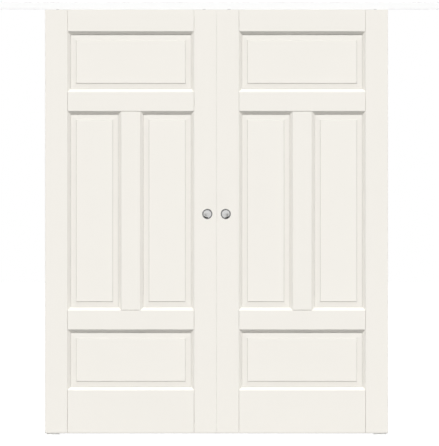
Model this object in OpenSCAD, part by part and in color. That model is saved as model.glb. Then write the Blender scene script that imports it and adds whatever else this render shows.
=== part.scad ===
/* [Leaf] */
// Width of one leaf
leaf_w = 825; // [725:25:1025]
// Height of one leaf
leaf_h = 2040; // [1940:10:2240]
// Thickness of the stiles and rails
leaf_t = 40; // [38:1:46]
// Space between the two closed leaves
meeting_gap = 0.6; // [0.4:0.2:3]
// Space between a leaf and the floor
floor_gap = 7; // [6:0.5:12]
// Width of leaf that stays in the opening when it is slid open
leaf_showing = 85; // [75:5:200]

/* [Stiles and rails] */
// Width of the outer and meeting stiles
stile_w = 107.5; // [98:0.5:130]
// Height of the top rail
top_rail_h = 105; // [85:1:140]
// Height of the upper and lower cross rails
cross_rail_h = 93; // [80:1:120]
// Height of the bottom rail
bottom_rail_h = 208; // [150:1:260]
// Width of the mullion between the tall panels
mullion_w = 91; // [80:1:120]
// Height of the openings for the top and bottom panels
short_opening_h = 291; // [200:1:360]
// Chamfer along the edges of every stile and rail
arris = 1; // [0.5:0.1:2]

/* [Sticking and panels] */
// Width of the bevelled sticking around each opening
sticking_w = 13.7; // [13:0.1:20]
// Height of the square nose between the bevel and the groove
sticking_nose = 3; // [0.5:0.25:4]
// Width of the groove that holds the panels
panel_groove_w = 6; // [5:0.5:10]
// Depth of that groove behind the edge of the sticking
panel_groove_d = 11.2; // [8:0.1:12]
// Room behind a panel's edge for the wood to move
panel_float = 2; // [1:0.5:4]
// Clearance on each side of a panel's tongue
panel_play = 0.2; // [0.1:0.05:0.4]
// Width of a panel's sloping border
border_w = 26.5; // [15:0.1:40]
// Rise of that border towards the field
border_rise = 2.4; // [0.5:0.1:4]
// Width of the bevelled step around the field
step_w = 3; // [2:0.5:8]
// Rise of that step
step_rise = 2.8; // [1:0.1:5]

/* [Joinery] */
// Diameter of the dowels in the joints
dowel_d = 10; // [6:1:12]
// Length of a dowel
dowel_l = 90; // [50:5:110]
// Chamfer at the ends of a dowel
dowel_chamfer = 1; // [0.5:0.5:2]
// Distance from the edge of a rail or mullion to its dowel
dowel_edge = 28; // [23:1:34]
// Clearance around a dowel
dowel_play = 0.1; // [0.05:0.05:0.3]
// Room beyond each end of a dowel
dowel_room = 1; // [0.5:0.5:3]

/* [Meeting edges] */
// Width of the tongue on the left leaf
meeting_tongue_w = 10; // [8:1:14]
// How far that tongue stands out of the leaf
meeting_tongue_l = 8; // [5:0.5:12]
// Chamfer at the tip of the tongue
meeting_tongue_chamfer = 1; // [0.5:0.5:3]
// Clearance around the tongue in the groove of the right leaf
meeting_play = 0.5; // [0.3:0.1:1]

/* [Pulls] */
// Diameter of a pull's flange
pull_d = 50; // [48:1:60]
// Thickness of the flange
flange_t = 1.6; // [1.2:0.1:3]
// Diameter of the cup behind the flange
cup_d = 44; // [36:1:46]
// Depth of the cup from the face of the flange
cup_depth = 10; // [8:0.5:14]
// Sheet thickness of the cup
cup_wall = 1.2; // [0.8:0.1:2]
// Radius inside the foot of the cup
cup_corner_r = 5; // [3:0.5:6]
// Radius around the rim and the mouth
rim_r = 1; // [0.5:0.1:1.1]
// Distance from the meeting edge to the centre of a pull
pull_inset = 44; // [38:1:55]
// Height of the centre of a pull above the bottom of the leaf
pull_height = 1056; // [850:1:1200]
// Clearance around the cup in its pocket
pocket_play = 0.2; // [0.1:0.1:0.5]
// Room behind the cup in its pocket
pocket_room = 0.4; // [0.2:0.1:1]

/* [Hangers] */
// Length of a hanger plate
plate_l = 84; // [76:1:90]
// Width of a hanger plate
plate_w = 30; // [28:1:32]
// Thickness of a hanger plate
plate_t = 3; // [2.5:0.5:5]
// Distance from the end of the plate to the inner edge of the stile
plate_margin = 5.5; // [2:0.5:10]
// Clearance around the plate in its mortise
plate_play = 0.3; // [0.2:0.1:0.6]
// Distance from the ends of the plate to its screws
plate_screw_end = 10; // [8:1:14]
// Distance from the sides of the plate to its screws
plate_screw_side = 6; // [5:0.5:6.5]
// Diameter of a plate screw
screw_d = 4.5; // [3.5:0.5:5]
// Diameter of the countersunk head of a plate screw
screw_head_d = 8.5; // [7:0.5:9.5]
// Length of a plate screw
screw_l = 50; // [30:5:60]
// Length of the point of a plate screw
screw_tip_l = 5; // [3:0.5:8]
// Diameter of a hanger bolt
bolt_d = 8; // [6:1:9]
// Height of the head of a hanger bolt
bolt_head_h = 5.3; // [4:0.1:7]
// How far a hanger bolt ends below the top of its trolley
bolt_short = 3; // [1:0.5:6]
// Room below and around the head of a hanger bolt
bolt_room = 0.5; // [0.3:0.1:2]
// Size across the flats of the bolt heads and lock nuts
hex_af = 13; // [12:1:15]
// Height of a lock nut
nut_h = 5; // [3:0.5:8]
// Space between a lock nut and the track
nut_gap = 3; // [2:0.5:8]
// Clearance around screws, bolts and spigots that are held fast
held_play = 0.1; // [0.05:0.05:0.2]

/* [Trolleys] */
// Diameter of a wheel
wheel_d = 20; // [16:1:28]
// Width of a wheel
wheel_w = 7; // [5:0.5:10]
// Depth of the recess in the sides of a wheel
wheel_recess = 1; // [0.5:0.1:1.5]
// Width of a wheel's rim and of its hub around the bore
wheel_land = 2; // [1:0.5:3]
// Chamfer around the tread of a wheel
wheel_chamfer = 0.5; // [0.2:0.1:1]
// Clearance between a wheel and the lips it rolls on
wheel_lift = 0.25; // [0.2:0.05:0.4]
// Room above a wheel in the track
wheel_headroom = 1.75; // [1:0.25:4]
// Space between a wheel and the body of its trolley
wheel_side_gap = 0.5; // [0.3:0.1:1]
// Distance between the two axles of a trolley
axle_spacing = 36; // [32:1:50]
// Diameter of an axle
axle_d = 5; // [4:0.5:6]
// Clearance between an axle and a bore
axle_play = 0.05; // [0.02:0.01:0.1]
// Diameter of the heads of an axle
axle_head_d = 7; // [6.5:0.5:9]
// Thickness of the heads of an axle
axle_head_t = 1.2; // [0.8:0.1:2]
// Space between a wheel and the head of its axle
axle_end_play = 0.1; // [0.05:0.05:0.3]
// Width of the body of a trolley
trolley_w = 12; // [11:0.5:16]
// Height of the body of a trolley
trolley_h = 15; // [12:0.5:18]
// How far the body reaches past its wheels
trolley_nose = 3; // [1:0.5:8]
// Chamfer at the ends of the body
trolley_chamfer = 2; // [0.5:0.5:3]

/* [Track] */
// Thickness of the sides of the track
track_side_t = 2; // [1.5:0.1:4]
// Thickness of the web along the top of the track
track_web_t = 2.5; // [1.5:0.1:5]
// Thickness of the lips that the wheels roll on
track_lip_t = 2.5; // [1.5:0.1:5]
// Chamfer along the outer edges of the track
track_chamfer = 0.6; // [0.2:0.1:1]
// Space between the leaves and the apron that hangs from the front of the track
apron_gap = 2; // [1:0.5:5]
// Room between the heads of the axles and the sides of the track
track_side_room = 0.7; // [0.3:0.1:2]
// Length of track beyond an end stop
track_end = 1.5; // [0.5:0.5:20]
// Largest pitch of the fixing holes
fixing_pitch = 300; // [150:10:400]
// Diameter of a fixing hole
fixing_d = 5; // [4:0.5:8]
// Distance from the end of the track to the first fixing hole
fixing_end = 60; // [40:5:120]

/* [Stops] */
// Diameter of a rubber buffer
buffer_d = 12; // [8:1:14]
// Length of a buffer
buffer_l = 8; // [5:0.5:12]
// Diameter of the spigot that holds a buffer
spigot_d = 5; // [3:0.5:6]
// Length of that spigot
spigot_l = 6; // [4:0.5:7]
// Clearance between a buffer and the trolley that stands at it
stop_clearance = 0.5; // [0.3:0.1:2]
// Length of an end stop
end_stop_l = 24; // [22:1:40]
// Clearance beside and above a stop in the track
stop_play = 0.3; // [0.2:0.1:0.6]
// Diameter of the screw that clamps a stop
stop_screw_d = 6; // [4:1:8]
// How far that screw is set back from the foot of the stop
stop_screw_set = 2; // [0:0.5:6]

/* [Floor guides] */
// Width of the guide groove in the bottom edge of a leaf
guide_groove_w = 8; // [6:0.5:12]
// Depth of the guide groove
guide_groove_d = 15; // [10:1:17]
// Clearance on each side of the fin in the groove
guide_play = 0.5; // [0.3:0.1:0.8]
// Room above the fin
guide_headroom = 4; // [2:0.5:6]
// Distance from the outer edge of a leaf to its floor guide
guide_inset = 37; // [35:1:60]
// Length of the base of a floor guide
guide_base_l = 60; // [58:1:80]
// Width of the base of a floor guide
guide_base_w = 35; // [20:1:40]
// Space between the base and the leaf
guide_base_gap = 1.5; // [1:0.5:4]
// Distance between the screw holes of a floor guide
guide_hole_spacing = 48; // [40:1:48]
// Diameter of a screw hole in a floor guide
guide_hole_d = 4.5; // [3.5:0.5:5]
// Diameter of its countersink
guide_sink_d = 8.5; // [7:0.5:9.5]
// Space between a countersink and the fin
guide_fin_gap = 1.75; // [0.5:0.25:5]

/* [Hidden] */
$fn = 64;
// How far a cut runs past the face that it opens
over = 1;

paint = [0.94, 0.935, 0.905];
beech = [0.80, 0.66, 0.46];
chrome = [0.82, 0.83, 0.84];
zinc = [0.70, 0.71, 0.72];
powder_coat = [0.96, 0.96, 0.96];
nylon = [0.90, 0.90, 0.88];
alloy = [0.62, 0.63, 0.65];
rubber = [0.16, 0.16, 0.16];

// Leaf layout: x from the meeting edge, z from the bottom of the leaf
rail_l = leaf_w - 2 * stile_w;
outer_joint_x = leaf_w - stile_w;
joint_xs = [stile_w, outer_joint_x];
mid_opening_h = leaf_h - top_rail_h - 2 * cross_rail_h - bottom_rail_h - 2 * short_opening_h;
lower_rail_z = bottom_rail_h + short_opening_h;
mid_opening_z = lower_rail_z + cross_rail_h;
upper_rail_z = mid_opening_z + mid_opening_h;
top_opening_z = upper_rail_z + cross_rail_h;
top_rail_z = top_opening_z + short_opening_h;
tall_opening_w = (rail_l - mullion_w) / 2;
mullion_x = stile_w + tall_opening_w;
tall_opening_xs = [stile_w, mullion_x + mullion_w];

// Each rail as its lower edge and height, each opening beside a stile likewise
bottom_rail_span = [0, bottom_rail_h];
lower_rail_span = [lower_rail_z, cross_rail_h];
upper_rail_span = [upper_rail_z, cross_rail_h];
top_rail_span = [top_rail_z, top_rail_h];
rail_spans = [bottom_rail_span, lower_rail_span, upper_rail_span, top_rail_span];
stile_openings = [
    [bottom_rail_h, short_opening_h],
    [mid_opening_z, mid_opening_h],
    [top_opening_z, short_opening_h]
];

// Running gear, in the same leaf layout
hanger_inset = stile_w - plate_margin - plate_l / 2;
hanger_xs = [hanger_inset, leaf_w - hanger_inset];
screw_head_h = (screw_head_d - screw_d) / 2;
hex_d = hex_af / cos(30);
track_gap = nut_h + nut_gap;
lip_top_z = leaf_h + track_gap + track_lip_t;
axle_z = lip_top_z + wheel_lift + wheel_d / 2;
trolley_l = axle_spacing + wheel_d + 2 * trolley_nose;
wheel_y = trolley_w / 2 + wheel_side_gap;
axle_head_y = wheel_y + wheel_w + axle_end_play;
leaf_travel = leaf_w - leaf_showing;

// Track section and length
track_in_w = 2 * (axle_head_y + axle_head_t + track_side_room);
track_w = track_in_w + 2 * track_side_t;
track_in_h = wheel_lift + wheel_d + wheel_headroom;
track_h = track_lip_t + track_in_h + track_web_t;
slot_w = 2 * wheel_y;
apron_h = track_gap - apron_gap;
track_z = floor_gap + leaf_h + track_gap;
half_gap = meeting_gap / 2;
end_stop_x = half_gap + leaf_w - hanger_inset + leaf_travel + trolley_l / 2 + stop_clearance + buffer_l;
track_half_l = end_stop_x + end_stop_l + track_end;
centre_stop_half_l = half_gap + hanger_inset - trolley_l / 2 - stop_clearance - buffer_l;
stop_h = track_in_h - stop_play;
fixing_half = track_half_l - fixing_end;
fixing_steps = 2 * ceil(fixing_half / fixing_pitch - 0.5) + 1;
lip_z = track_z + track_lip_t;
buffer_z = floor_gap + axle_z;

// Floor guide
guide_x = half_gap + leaf_w - guide_inset;
guide_base_t = floor_gap - guide_base_gap;
guide_fin_w = guide_groove_w - 2 * guide_play;
guide_fin_l = guide_hole_spacing - guide_sink_d - 2 * guide_fin_gap;
guide_top_z = floor_gap + guide_groove_d - guide_headroom;
guide_sink_h = (guide_sink_d - guide_hole_d) / 2;

// Places a leaf piece on the right leaf, standing over the floor beside the meeting line
module on_right() {
    translate([half_gap, 0, floor_gap]) children();
}

// Places the mirrored piece on the left leaf
module on_left() {
    mirror([1, 0, 0]) on_right() children();
}

// Carries a profile drawn as (z, y) along x
module across(length) {
    translate([length, 0, 0]) rotate([0, -90, 0]) linear_extrude(length) children();
}

// Section of a stile or rail from 0 to w, with its four edges chamfered
module arris_section(w) {
    e = leaf_t / 2;
    polygon([
        [0, arris - e], [arris, -e], [w - arris, -e], [w, arris - e],
        [w, e - arris], [w - arris, e], [arris, e], [0, e - arris]
    ]);
}

// Squared length of timber, chamfered along its edges and ends
module blank(w, h) {
    intersection() {
        linear_extrude(h) arris_section(w);
        across(w) arris_section(h);
    }
}

// Bevelled and grooved strip that stands up from z = 0, mitred at both ends
module sticking(length) {
    edge = leaf_t / 2 - arris;
    groove = panel_groove_w / 2;
    groove_s = sticking_w - panel_groove_d;
    nose = groove + sticking_nose;
    intersection() {
        across(length) polygon([
            [-arris, -edge], [0, -edge], [sticking_w, -nose], [sticking_w, -groove],
            [groove_s, -groove], [groove_s, groove], [sticking_w, groove],
            [sticking_w, nose], [0, edge], [-arris, edge]
        ]);
        rotate([90, 0, 0]) linear_extrude(leaf_t, center = true) polygon([
            [0, -arris], [length, -arris], [length, 0],
            [length - sticking_w, sticking_w], [sticking_w, sticking_w], [0, 0]
        ]);
    }
}

module sticking_up(x, z, length) {
    translate([x, 0, z]) sticking(length);
}

module sticking_down(x, z, length) {
    translate([x + length, 0, z]) rotate([0, 180, 0]) sticking(length);
}

// Towards the outer edge of the leaf
module sticking_outward(x, z, length) {
    translate([x, 0, z + length]) rotate([0, 90, 0]) sticking(length);
}

// Towards the meeting edge of the leaf
module sticking_inward(x, z, length) {
    translate([x, 0, z]) rotate([0, -90, 0]) sticking(length);
}

// Dowel about z, centred on the joint
module dowel() {
    r = dowel_d / 2;
    half = dowel_l / 2;
    c = dowel_chamfer;
    rotate_extrude() polygon([
        [0, -half], [r - c, -half], [r, c - half], [r, half - c], [r - c, half], [0, half]
    ]);
}

module dowel_hole() {
    cylinder(d = dowel_d + 2 * dowel_play, h = dowel_l + 2 * dowel_room, center = true);
}

// The two dowel places where a rail meets the stile at x
module at_rail_joint(x, span) {
    for (z = [span[0] + dowel_edge, span[0] + span[1] - dowel_edge])
        translate([x, 0, z]) rotate([0, 90, 0]) children();
}

// The two dowel places where the mullion meets a cross rail at z
module at_mullion_joint(z) {
    for (x = [mullion_x + dowel_edge, mullion_x + mullion_w - dowel_edge])
        translate([x, 0, z]) children();
}

// The four screw places of a hanger plate centred at x
module at_plate_screws(x) {
    for (dx = [-1, 1], dy = [-1, 1])
        translate([x + dx * (plate_l / 2 - plate_screw_end), dy * (plate_w / 2 - plate_screw_side), leaf_h])
            children();
}

// The two axle places of a trolley centred at x
module at_axles(x) {
    for (dx = [-1, 1])
        translate([x + dx * axle_spacing / 2, 0, axle_z]) rotate([90, 0, 0]) children();
}

// Cut for a hanger plate, the head of its bolt and its screws
module hanger_mortise(x) {
    l = plate_l + 2 * plate_play;
    w = plate_w + 2 * plate_play;
    pocket_h = plate_t + bolt_head_h + bolt_room;
    translate([x - l / 2, -w / 2, leaf_h - plate_t]) cube([l, w, plate_t + over]);
    translate([x, 0, leaf_h - pocket_h]) cylinder(d = hex_d + 2 * bolt_room, h = pocket_h);
    at_plate_screws(x) translate([0, 0, -screw_l - held_play])
        cylinder(d = screw_d + 2 * held_play, h = screw_l + held_play);
}

module guide_groove() {
    translate([-over, -guide_groove_w / 2, -over])
        cube([leaf_w + 2 * over, guide_groove_w, guide_groove_d + over]);
}

// What is cut from both stiles
module stile_cuts(hanger_x, joint_x) {
    hanger_mortise(hanger_x);
    guide_groove();
    for (span = rail_spans) at_rail_joint(joint_x, span) dowel_hole();
}

module meeting_tongue() {
    w = meeting_tongue_w / 2;
    l = meeting_tongue_l;
    c = meeting_tongue_chamfer;
    translate([0, 0, guide_groove_d]) linear_extrude(leaf_h - arris - guide_groove_d) polygon([
        [arris, -w], [c - l, -w], [-l, c - w], [-l, w - c], [c - l, w], [arris, w]
    ]);
}

module meeting_groove() {
    w = meeting_tongue_w + 2 * meeting_play;
    depth = meeting_tongue_l - meeting_gap + meeting_play;
    translate([-over, -w / 2, -over]) cube([depth + over, w, leaf_h + 2 * over]);
}

// Pocket for the cup of a pull, sunk from the front face
module pull_pocket() {
    depth = cup_depth - flange_t + cup_wall + pocket_room;
    translate([pull_inset, depth - leaf_t / 2, pull_height]) rotate([90, 0, 0])
        cylinder(d = cup_d + 2 * pocket_play, h = depth + over);
}

module meeting_stile(tongued) {
    color(paint) difference() {
        union() {
            blank(stile_w, leaf_h);
            for (o = stile_openings) sticking_outward(stile_w, o[0], o[1]);
            if (tongued) meeting_tongue();
        }
        stile_cuts(hanger_inset, stile_w);
        pull_pocket();
        mirror([0, 1, 0]) pull_pocket();
        if (!tongued) meeting_groove();
    }
}

module outer_stile() {
    color(paint) difference() {
        union() {
            translate([outer_joint_x, 0, 0]) blank(stile_w, leaf_h);
            for (o = stile_openings) sticking_inward(outer_joint_x, o[0], o[1]);
        }
        stile_cuts(leaf_w - hanger_inset, outer_joint_x);
    }
}

module rail_blank(span) {
    translate([stile_w, 0, span[0]]) blank(rail_l, span[1]);
}

module rail_holes(span) {
    for (x = joint_xs) at_rail_joint(x, span) dowel_hole();
}

module top_rail() {
    color(paint) difference() {
        union() {
            rail_blank(top_rail_span);
            sticking_down(stile_w, top_rail_z, rail_l);
        }
        rail_holes(top_rail_span);
    }
}

module upper_cross_rail() {
    color(paint) difference() {
        union() {
            rail_blank(upper_rail_span);
            sticking_up(stile_w, top_opening_z, rail_l);
            for (x = tall_opening_xs) sticking_down(x, upper_rail_z, tall_opening_w);
        }
        rail_holes(upper_rail_span);
        at_mullion_joint(upper_rail_z) dowel_hole();
    }
}

module lower_cross_rail() {
    color(paint) difference() {
        union() {
            rail_blank(lower_rail_span);
            sticking_down(stile_w, lower_rail_z, rail_l);
            for (x = tall_opening_xs) sticking_up(x, mid_opening_z, tall_opening_w);
        }
        rail_holes(lower_rail_span);
        at_mullion_joint(mid_opening_z) dowel_hole();
    }
}

module bottom_rail() {
    color(paint) difference() {
        union() {
            rail_blank(bottom_rail_span);
            sticking_up(stile_w, bottom_rail_h, rail_l);
        }
        rail_holes(bottom_rail_span);
        guide_groove();
    }
}

module mullion() {
    color(paint) difference() {
        union() {
            translate([mullion_x, 0, mid_opening_z]) blank(mullion_w, mid_opening_h);
            sticking_inward(mullion_x, mid_opening_z, mid_opening_h);
            sticking_outward(mullion_x + mullion_w, mid_opening_z, mid_opening_h);
        }
        for (z = [mid_opening_z, upper_rail_z]) at_mullion_joint(z) dowel_hole();
    }
}

// One face of a panel's section across an opening of width w, from edge to edge
function panel_face(w) =
    let (
        tongue = panel_groove_w / 2 - panel_play,
        edge = sticking_w - panel_groove_d + panel_float,
        steps = [
            [edge, tongue],
            [sticking_w, tongue],
            [sticking_w + border_w, tongue + border_rise],
            [sticking_w + border_w + step_w, tongue + border_rise + step_rise]
        ]
    )
    concat(steps, [for (i = [3:-1:0]) [w - steps[i][0], steps[i][1]]]);

module panel_section(w) {
    face = panel_face(w);
    polygon(concat(face, [for (i = [len(face) - 1:-1:0]) [face[i][0], -face[i][1]]]));
}

// Panel raised on both faces, for an opening of w by h
module raised_panel(w, h) {
    color(paint) intersection() {
        linear_extrude(h) panel_section(w);
        across(w) panel_section(h);
    }
}

module top_panel() {
    translate([stile_w, 0, top_opening_z]) raised_panel(rail_l, short_opening_h);
}

module outer_panel() {
    translate([tall_opening_xs[1], 0, mid_opening_z]) raised_panel(tall_opening_w, mid_opening_h);
}

module inner_panel() {
    translate([tall_opening_xs[0], 0, mid_opening_z]) raised_panel(tall_opening_w, mid_opening_h);
}

module bottom_panel() {
    translate([stile_w, 0, bottom_rail_h]) raised_panel(rail_l, short_opening_h);
}

// Points on an arc about (cr, cz), from angle a to angle b
function arc(cr, cz, r, a, b, n = 8) =
    [for (i = [0:n]) let (t = a + (b - a) * i / n) [cr + r * cos(t), cz + r * sin(t)]];

// Flanged cup about z, with the back of the flange at z = 0
module cup() {
    out_r = cup_d / 2;
    in_r = out_r - cup_wall;
    floor_z = flange_t - cup_depth;
    foot_z = floor_z + cup_corner_r;
    foot_r = in_r - cup_corner_r;
    rotate_extrude() polygon(concat(
        [[0, floor_z - cup_wall]],
        arc(foot_r, foot_z, cup_corner_r + cup_wall, -90, 0),
        [[out_r, 0], [pull_d / 2, 0]],
        arc(pull_d / 2 - rim_r, flange_t - rim_r, rim_r, 0, 90),
        arc(in_r + rim_r, flange_t - rim_r, rim_r, 90, 180),
        arc(foot_r, foot_z, cup_corner_r, 0, -90),
        [[0, floor_z]]
    ));
}

module front_pull() {
    color(chrome) translate([pull_inset, -leaf_t / 2, pull_height]) rotate([90, 0, 0]) cup();
}

module back_pull() {
    mirror([0, 1, 0]) front_pull();
}

module hanger_plate(x) {
    color(zinc) difference() {
        translate([x - plate_l / 2, -plate_w / 2, leaf_h - plate_t]) cube([plate_l, plate_w, plate_t]);
        translate([x, 0, leaf_h - plate_t - over])
            cylinder(d = bolt_d + 2 * held_play, h = plate_t + 2 * over);
        at_plate_screws(x) {
            translate([0, 0, -plate_t - over])
                cylinder(d = screw_d + 2 * held_play, h = plate_t + 2 * over);
            translate([0, 0, -screw_head_h])
                cylinder(d1 = screw_d + 2 * held_play, d2 = screw_head_d + 2 * held_play, h = screw_head_h);
        }
    }
}

module inner_hanger_plate() {
    hanger_plate(hanger_inset);
}

module outer_hanger_plate() {
    hanger_plate(leaf_w - hanger_inset);
}

module plate_screws() {
    r = screw_d / 2;
    color(zinc) for (x = hanger_xs) at_plate_screws(x) rotate_extrude() polygon([
        [0, 0], [screw_head_d / 2, 0], [r, -screw_head_h], [r, screw_tip_l - screw_l], [0, -screw_l]
    ]);
}

module hanger_bolts() {
    head_top_z = leaf_h - plate_t;
    tip_z = axle_z + trolley_h / 2 - bolt_short;
    color(zinc) for (x = hanger_xs) {
        translate([x, 0, head_top_z - bolt_head_h]) cylinder(d = hex_d, h = bolt_head_h, $fn = 6);
        translate([x, 0, head_top_z - bolt_head_h / 2])
            cylinder(d = bolt_d, h = tip_z - head_top_z + bolt_head_h / 2);
    }
}

module lock_nuts() {
    color(zinc) for (x = hanger_xs) translate([x, 0, leaf_h]) difference() {
        cylinder(d = hex_d, h = nut_h, $fn = 6);
        translate([0, 0, -over]) cylinder(d = bolt_d + 2 * held_play, h = nut_h + 2 * over);
    }
}

module trolley(x) {
    l = trolley_l / 2;
    h = trolley_h / 2;
    c = trolley_chamfer;
    color(alloy) difference() {
        translate([x, 0, axle_z]) rotate([90, 0, 0]) linear_extrude(trolley_w, center = true) polygon([
            [-l, c - h], [c - l, -h], [l - c, -h], [l, c - h],
            [l, h - c], [l - c, h], [c - l, h], [-l, h - c]
        ]);
        translate([x, 0, axle_z - h - over])
            cylinder(d = bolt_d + 2 * held_play, h = trolley_h + 2 * over);
        at_axles(x) cylinder(d = axle_d + 2 * axle_play, h = trolley_w + 2 * over, center = true);
    }
}

module inner_trolley() {
    trolley(hanger_inset);
}

module outer_trolley() {
    trolley(leaf_w - hanger_inset);
}

module axles() {
    half_l = axle_head_y + axle_head_t;
    color(zinc) for (x = hanger_xs) at_axles(x) {
        cylinder(d = axle_d, h = 2 * half_l, center = true);
        for (side = [0, 1]) mirror([0, 0, side])
            translate([0, 0, axle_head_y]) cylinder(d = axle_head_d, h = axle_head_t);
    }
}

// Wheel about z, from z = 0 to its width
module wheel() {
    bore_r = axle_d / 2 + axle_play;
    hub_r = bore_r + wheel_land;
    tread_r = wheel_d / 2;
    land_r = tread_r - wheel_land;
    w = wheel_w;
    c = wheel_chamfer;
    rotate_extrude() polygon([
        [bore_r, 0], [hub_r, 0], [hub_r, wheel_recess], [land_r, wheel_recess], [land_r, 0],
        [tread_r - c, 0], [tread_r, c], [tread_r, w - c], [tread_r - c, w],
        [land_r, w], [land_r, w - wheel_recess], [hub_r, w - wheel_recess], [hub_r, w], [bore_r, w]
    ]);
}

// The two wheels of one axle, counted from 1 at the meeting edge to 4 at the outer edge
module wheels(count) {
    dx = count % 2 == 1 ? -axle_spacing / 2 : axle_spacing / 2;
    x = hanger_xs[count < 3 ? 0 : 1] + dx;
    color(nylon) translate([x, 0, axle_z]) for (side = [0, 1]) mirror([0, side, 0])
        translate([0, wheel_y + wheel_w, 0]) rotate([90, 0, 0]) wheel();
}

module dowels() {
    color(beech) {
        for (x = joint_xs, span = rail_spans) at_rail_joint(x, span) dowel();
        for (z = [mid_opening_z, upper_rail_z]) at_mullion_joint(z) dowel();
    }
}

// Slotted channel with its web up and an apron down its front, drawn as (z, y)
module track_section() {
    w = track_w / 2;
    i = track_in_w / 2;
    s = slot_w / 2;
    c = track_chamfer;
    inner_z = track_h - track_web_t;
    polygon([
        [-apron_h, -i], [-apron_h, c - w], [c - apron_h, -w], [track_h - c, -w], [track_h, c - w],
        [track_h, w - c], [track_h - c, w], [c, w], [0, w - c],
        [0, s], [track_lip_t, s], [track_lip_t, i], [inner_z, i],
        [inner_z, -i], [track_lip_t, -i], [track_lip_t, -s], [0, -s], [0, -i]
    ]);
}

module track() {
    color(powder_coat) difference() {
        translate([-track_half_l, 0, track_z]) across(2 * track_half_l) track_section();
        for (i = [0:fixing_steps])
            translate([fixing_half * (2 * i / fixing_steps - 1), 0, track_z + track_h - track_web_t - over])
                cylinder(d = fixing_d, h = track_web_t + 2 * over);
    }
}

// Block in the track from x to x + length, bored for its clamping screw and for spigots at the ends given
module stop_block(x, length, spigot_xs) {
    w = track_in_w - 2 * stop_play;
    color(alloy) difference() {
        translate([x, -w / 2, lip_z]) cube([length, w, stop_h]);
        translate([x + length / 2, 0, lip_z - over])
            cylinder(d = stop_screw_d + 2 * held_play, h = stop_h + 2 * over);
        for (sx = spigot_xs) translate([sx, 0, buffer_z]) rotate([0, 90, 0])
            cylinder(d = spigot_d + 2 * held_play, h = 2 * (spigot_l + held_play), center = true);
    }
}

module centre_stop() {
    stop_block(-centre_stop_half_l, 2 * centre_stop_half_l, [-centre_stop_half_l, centre_stop_half_l]);
}

module right_end_stop() {
    stop_block(end_stop_x, end_stop_l, [end_stop_x]);
}

module left_end_stop() {
    mirror([1, 0, 0]) right_end_stop();
}

// Rubber buffer on the face of a stop at x, pointing along +x
module buffer(x) {
    translate([x, 0, buffer_z]) rotate([0, 90, 0]) {
        cylinder(d = buffer_d, h = buffer_l);
        translate([0, 0, -spigot_l]) cylinder(d = spigot_d, h = spigot_l + buffer_l / 2);
    }
}

module stop_buffers() {
    color(rubber) for (side = [0, 1]) mirror([side, 0, 0]) {
        buffer(centre_stop_half_l);
        mirror([1, 0, 0]) buffer(-end_stop_x);
    }
}

module stop_screws() {
    end_x = end_stop_x + end_stop_l / 2;
    color(zinc) for (x = [-end_x, 0, end_x]) translate([x, 0, lip_z + stop_screw_set])
        cylinder(d = stop_screw_d, h = track_in_h - stop_screw_set);
}

module right_floor_guide() {
    l = guide_base_l;
    w = guide_base_w;
    color(nylon) translate([guide_x, 0, 0]) difference() {
        union() {
            translate([-l / 2, -w / 2, 0]) cube([l, w, guide_base_t]);
            translate([-guide_fin_l / 2, -guide_fin_w / 2, 0]) cube([guide_fin_l, guide_fin_w, guide_top_z]);
        }
        for (side = [-1, 1]) translate([side * guide_hole_spacing / 2, 0, 0]) {
            translate([0, 0, -over]) cylinder(d = guide_hole_d, h = guide_base_t + 2 * over);
            translate([0, 0, guide_base_t - guide_sink_h])
                cylinder(d1 = guide_hole_d, d2 = guide_sink_d, h = guide_sink_h);
        }
    }
}

module left_floor_guide() {
    mirror([1, 0, 0]) right_floor_guide();
}

on_left() outer_stile();  // left_outer_stile
on_left() meeting_stile(true);  // left_meeting_stile
on_left() top_rail();  // left_top_rail
on_left() upper_cross_rail();  // left_upper_cross_rail
on_left() lower_cross_rail();  // left_lower_cross_rail
on_left() bottom_rail();  // left_bottom_rail
on_left() mullion();  // left_mullion
on_left() top_panel();  // left_top_panel
on_left() outer_panel();  // left_outer_panel
on_left() inner_panel();  // left_inner_panel
on_left() bottom_panel();  // left_bottom_panel
on_left() front_pull();  // left_front_pull
on_left() back_pull();  // left_back_pull
on_left() outer_hanger_plate();  // left_outer_hanger_plate
on_left() inner_hanger_plate();  // left_inner_hanger_plate
on_left() plate_screws();  // left_plate_screws
on_left() hanger_bolts();  // left_hanger_bolts
on_left() lock_nuts();  // left_lock_nuts
on_left() outer_trolley();  // left_outer_trolley
on_left() inner_trolley();  // left_inner_trolley
on_left() axles();  // left_axles
on_left() wheels(1);  // left_wheels_1
on_left() wheels(2);  // left_wheels_2
on_left() wheels(3);  // left_wheels_3
on_left() wheels(4);  // left_wheels_4
on_left() dowels();  // left_dowels
on_right() outer_stile();  // right_outer_stile
on_right() meeting_stile(false);  // right_meeting_stile
on_right() top_rail();  // right_top_rail
on_right() upper_cross_rail();  // right_upper_cross_rail
on_right() lower_cross_rail();  // right_lower_cross_rail
on_right() bottom_rail();  // right_bottom_rail
on_right() mullion();  // right_mullion
on_right() top_panel();  // right_top_panel
on_right() outer_panel();  // right_outer_panel
on_right() inner_panel();  // right_inner_panel
on_right() bottom_panel();  // right_bottom_panel
on_right() front_pull();  // right_front_pull
on_right() back_pull();  // right_back_pull
on_right() outer_hanger_plate();  // right_outer_hanger_plate
on_right() inner_hanger_plate();  // right_inner_hanger_plate
on_right() plate_screws();  // right_plate_screws
on_right() hanger_bolts();  // right_hanger_bolts
on_right() lock_nuts();  // right_lock_nuts
on_right() outer_trolley();  // right_outer_trolley
on_right() inner_trolley();  // right_inner_trolley
on_right() axles();  // right_axles
on_right() wheels(1);  // right_wheels_1
on_right() wheels(2);  // right_wheels_2
on_right() wheels(3);  // right_wheels_3
on_right() wheels(4);  // right_wheels_4
on_right() dowels();  // right_dowels
track();
centre_stop();
left_end_stop();
right_end_stop();
stop_buffers();
stop_screws();
left_floor_guide();
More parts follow.
